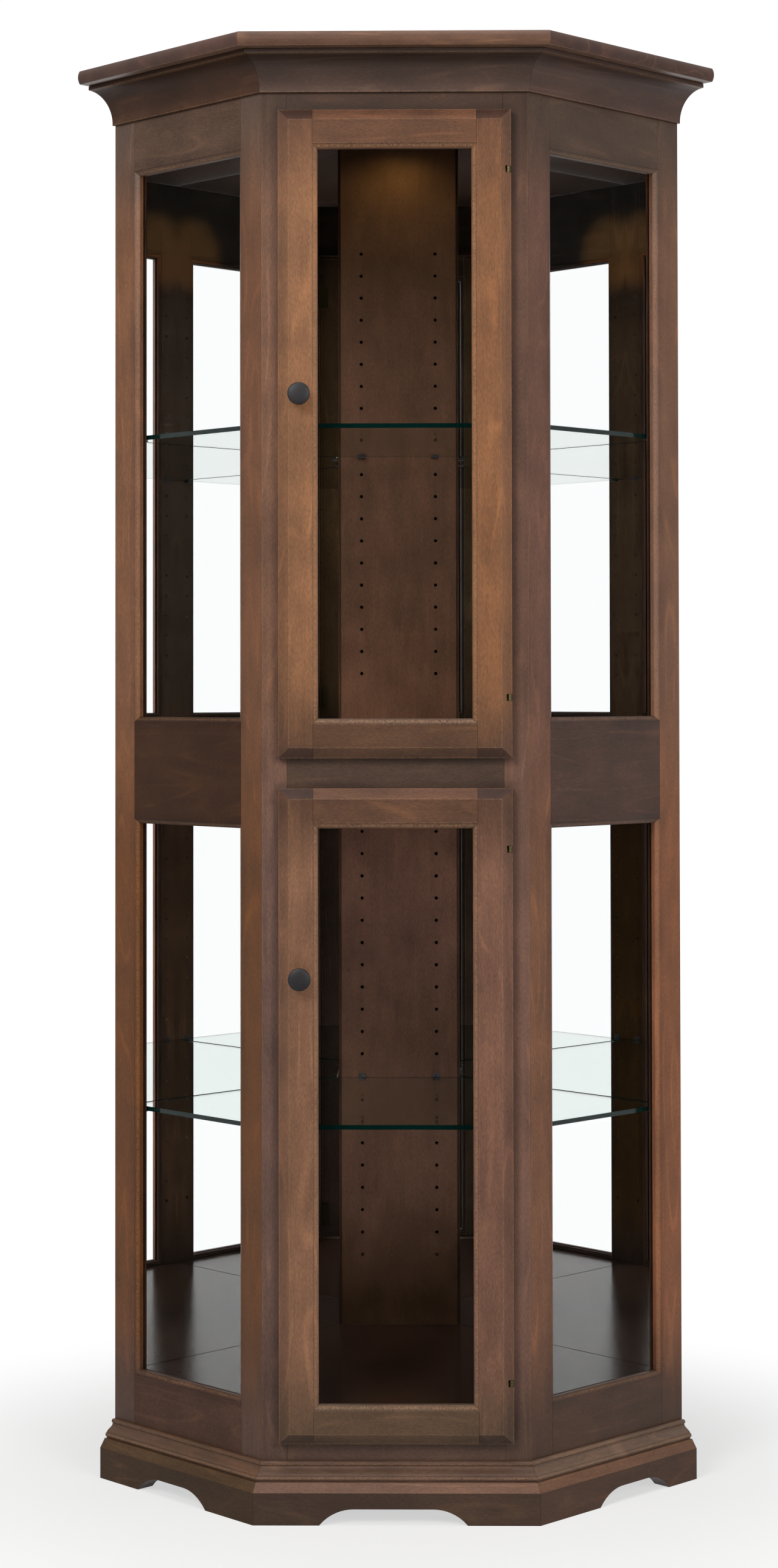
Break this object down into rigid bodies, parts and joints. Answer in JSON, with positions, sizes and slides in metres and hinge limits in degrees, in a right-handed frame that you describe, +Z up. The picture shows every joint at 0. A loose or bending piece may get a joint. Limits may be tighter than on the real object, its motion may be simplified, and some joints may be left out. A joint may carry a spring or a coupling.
{
  "type": "corner curio cabinet",
  "caption": "Tall glazed corner display cabinet with two doors one above the other, canted glass sides, mirrored backs, glass shelves and a crown and base moulding.",
  "frame": {"origin": "on the floor, under the middle of the cabinet's box", "axes": "+Z up, the doors face -Y, the walls meet behind the cabinet towards +Y, +X is to the right seen from the front"},
  "size_m": [0.8502, 0.5688, 1.8803],
  "materials": {
    "stile_wood": "dark brown stained maple, satin lacquer, upright grain",
    "rail_wood": "dark brown stained maple, satin lacquer, level grain",
    "inner_wood": "dark brown stained maple veneer, satin",
    "back_ply": "thin stained hardboard, matt",
    "glass": "clear float glass",
    "shelf_glass": "clear float glass with polished green edges",
    "mirror": "silvered glass",
    "dark_bronze": "oil rubbed bronze, satin",
    "brass": "antique brass",
    "lamp_plastic": "moulded dark housing",
    "lamp_lens": "frosted warm diffuser"
  },
  "bodies": {
    "cabinet": {"top_board": "stile_wood", "crown_front": "stile_wood", "crown_left": "stile_wood", "crown_right": "stile_wood", "base_moulding_front": "stile_wood", "base_moulding_left": "stile_wood", "base_moulding_right": "stile_wood", "front_stile_left": "stile_wood", "front_stile_right": "stile_wood", "base_board_front": "rail_wood", "base_board_left": "rail_wood", "base_board_right": "rail_wood", "front_bottom_rail": "rail_wood", "front_mid_rail": "rail_wood", "front_top_rail": "rail_wood", "left_front_stile": "stile_wood", "left_rear_stile": "stile_wood", "left_bottom_rail": "rail_wood", "left_mid_rail": "rail_wood", "left_top_rail": "rail_wood", "left_lower_glass": "glass", "left_upper_glass": "glass", "back_left_panel": "back_ply", "mirror_left": "mirror", "right_front_stile": "stile_wood", "right_rear_stile": "stile_wood", "right_bottom_rail": "rail_wood", "right_mid_rail": "rail_wood", "right_top_rail": "rail_wood", "right_lower_glass": "glass", "right_upper_glass": "glass", "back_right_panel": "back_ply", "mirror_right": "mirror", "back_centre_panel": "inner_wood", "bottom_deck": "inner_wood", "mid_deck": "inner_wood", "light_housing": "lamp_plastic", "light_lens": "lamp_lens", "lower_door_bottom_hinge_frame_leaf": "brass", "lower_door_top_hinge_frame_leaf": "brass", "upper_door_bottom_hinge_frame_leaf": "brass", "upper_door_top_hinge_frame_leaf": "brass"},
    "lower_door": {"lower_door_stile_left": "stile_wood", "lower_door_stile_right": "stile_wood", "lower_door_rail_top": "rail_wood", "lower_door_rail_bottom": "rail_wood", "lower_door_glass": "glass", "lower_knob": "dark_bronze", "lower_door_bottom_hinge_door_leaf": "brass", "lower_door_top_hinge_door_leaf": "brass"},
    "lower_shelf": {"lower_shelf": "shelf_glass"},
    "upper_door": {"upper_door_stile_left": "stile_wood", "upper_door_stile_right": "stile_wood", "upper_door_rail_top": "rail_wood", "upper_door_rail_bottom": "rail_wood", "upper_door_glass": "glass", "upper_knob": "dark_bronze", "upper_door_bottom_hinge_door_leaf": "brass", "upper_door_top_hinge_door_leaf": "brass"},
    "upper_shelf": {"upper_shelf": "shelf_glass"}
  },
  "joints": [
    {"name": "lower_door_hinge", "type": "hinge", "parent": "cabinet", "child": "lower_door", "pos_m": [0.1451, -0.23247, 0.5125], "axis": [0, 0, 1], "range_deg": [0, 110]},
    {"name": "upper_door_hinge", "type": "hinge", "parent": "cabinet", "child": "upper_door", "pos_m": [0.1451, -0.23247, 1.3774], "axis": [0, 0, 1], "range_deg": [0, 110]},
    {"name": "lower_shelf_lift", "type": "slide", "parent": "cabinet", "child": "lower_shelf", "axis": [0, 0, 1], "range_m": [0, 0.352]},
    {"name": "upper_shelf_lift", "type": "slide", "parent": "cabinet", "child": "upper_shelf", "axis": [0, 0, 1], "range_m": [0, 0.288]}
  ]
}
